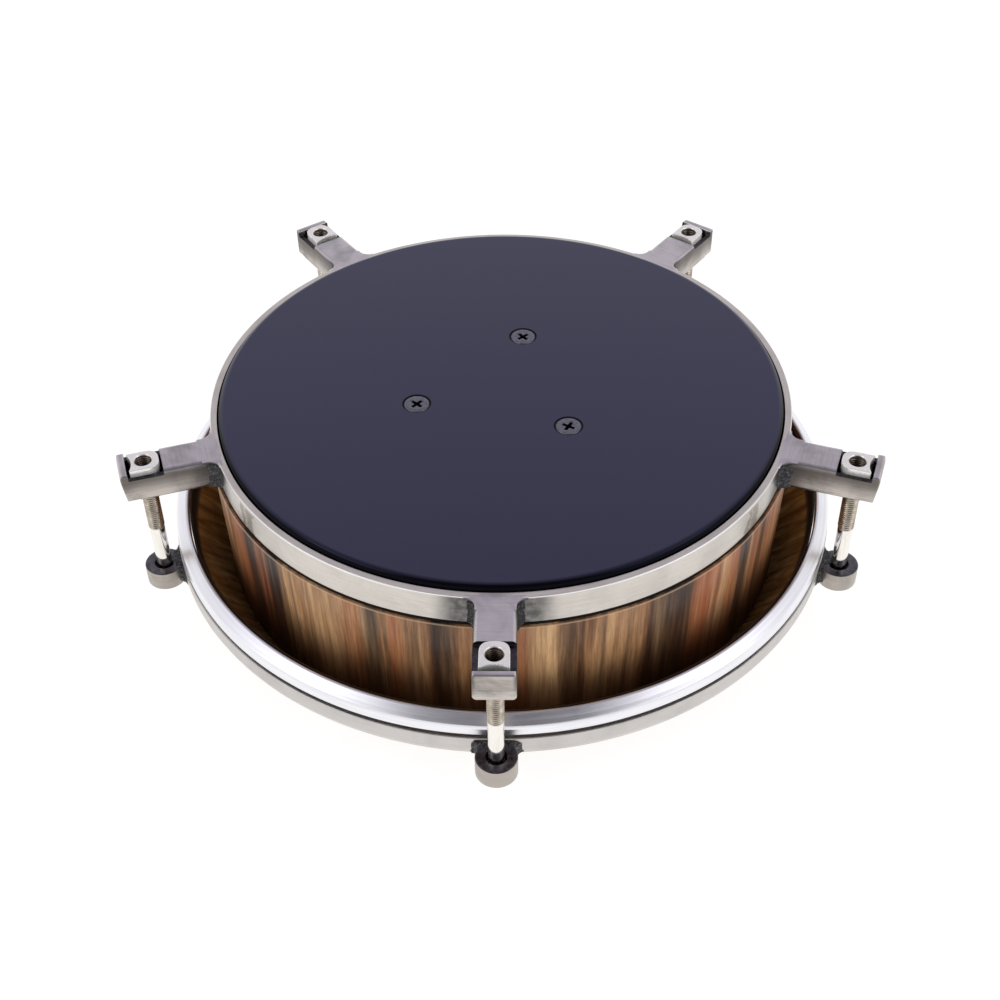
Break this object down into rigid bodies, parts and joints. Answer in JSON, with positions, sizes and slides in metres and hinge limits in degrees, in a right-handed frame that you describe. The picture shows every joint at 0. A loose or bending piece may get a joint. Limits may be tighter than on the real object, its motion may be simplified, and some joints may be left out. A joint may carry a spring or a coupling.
{
  "type": "low-profile travel hand drum",
  "caption": "Shallow hand drum for practice, standing head-down: wooden shell, steel base ring with lug arms, gloss base plate, and a tuning hoop drawn up by tension bolts.",
  "frame": {"origin": "centre of the playing face, on the face's outer side, where the drum stands head-down", "axes": "+Z from the playing face to the base plate (up as it stands here); -Y towards lug 1; +X completes the right-handed set"},
  "size_m": [0.3632, 0.3554, 0.0916],
  "materials": {
    "shell_wood": "satin lacquer over vertical striped grain",
    "steel": "brushed satin steel, darker at the welds",
    "nickel": "bright nickel plate",
    "hoop_aluminium": "polished with fine turning marks",
    "plate_gloss": "glossy black",
    "screw_black": "black oxide",
    "seal": "matte",
    "head_hide": "semi-gloss natural hide",
    "board": "plain board"
  },
  "bodies": {
    "base": {"shell": "shell_wood", "ring_gasket": "seal", "base_ring": "steel", "base_plate": "plate_gloss", "backing_disc": "board", "plate_screw_1": "screw_black", "plate_screw_2": "screw_black", "plate_screw_3": "screw_black", "arm_1": "steel", "arm_2": "steel", "arm_3": "steel", "arm_4": "steel", "arm_5": "steel", "nut_1": "nickel", "nut_2": "nickel", "nut_3": "nickel", "nut_4": "nickel", "nut_5": "nickel", "drum_head": "head_hide"},
    "rim": {"counterhoop": "steel", "flesh_hoop": "hoop_aluminium", "hoop_ear_1": "steel", "hoop_ear_2": "steel", "hoop_ear_3": "steel", "hoop_ear_4": "steel", "hoop_ear_5": "steel"},
    "tension_bolt_1": {"bolt_1": "nickel"},
    "tension_bolt_2": {"bolt_2": "nickel"},
    "tension_bolt_3": {"bolt_3": "nickel"},
    "tension_bolt_4": {"bolt_4": "nickel"},
    "tension_bolt_5": {"bolt_5": "nickel"}
  },
  "joints": [
    {"name": "rim_slide", "type": "slide", "parent": "base", "child": "rim", "axis": [0, 0, 1], "range_m": [-0.003, 0.004], "stiffness_N_per_m": 20000},
    {"name": "bolt_1_turn", "type": "hinge", "parent": "rim", "child": "tension_bolt_1", "pos_m": [0, -0.1758, 0.05], "axis": [0, 0, 1], "range_deg": [-864.5, 1152.5]},
    {"name": "bolt_2_turn", "type": "hinge", "parent": "rim", "child": "tension_bolt_2", "pos_m": [0.1672, -0.05432, 0.05], "axis": [0, 0, 1], "range_deg": [-864.5, 1152.5]},
    {"name": "bolt_3_turn", "type": "hinge", "parent": "rim", "child": "tension_bolt_3", "pos_m": [0.10333, 0.14222, 0.05], "axis": [0, 0, 1], "range_deg": [-864.5, 1152.5]},
    {"name": "bolt_4_turn", "type": "hinge", "parent": "rim", "child": "tension_bolt_4", "pos_m": [-0.10333, 0.14222, 0.05], "axis": [0, 0, 1], "range_deg": [-864.5, 1152.5]},
    {"name": "bolt_5_turn", "type": "hinge", "parent": "rim", "child": "tension_bolt_5", "pos_m": [-0.1672, -0.05432, 0.05], "axis": [0, 0, 1], "range_deg": [-864.5, 1152.5]}
  ],
  "couplings": [
    {"joint": "bolt_1_turn", "follows": "rim_slide", "rad_per_m": 5026.5},
    {"joint": "bolt_2_turn", "follows": "rim_slide", "rad_per_m": 5026.5},
    {"joint": "bolt_3_turn", "follows": "rim_slide", "rad_per_m": 5026.5},
    {"joint": "bolt_4_turn", "follows": "rim_slide", "rad_per_m": 5026.5},
    {"joint": "bolt_5_turn", "follows": "rim_slide", "rad_per_m": 5026.5}
  ]
}
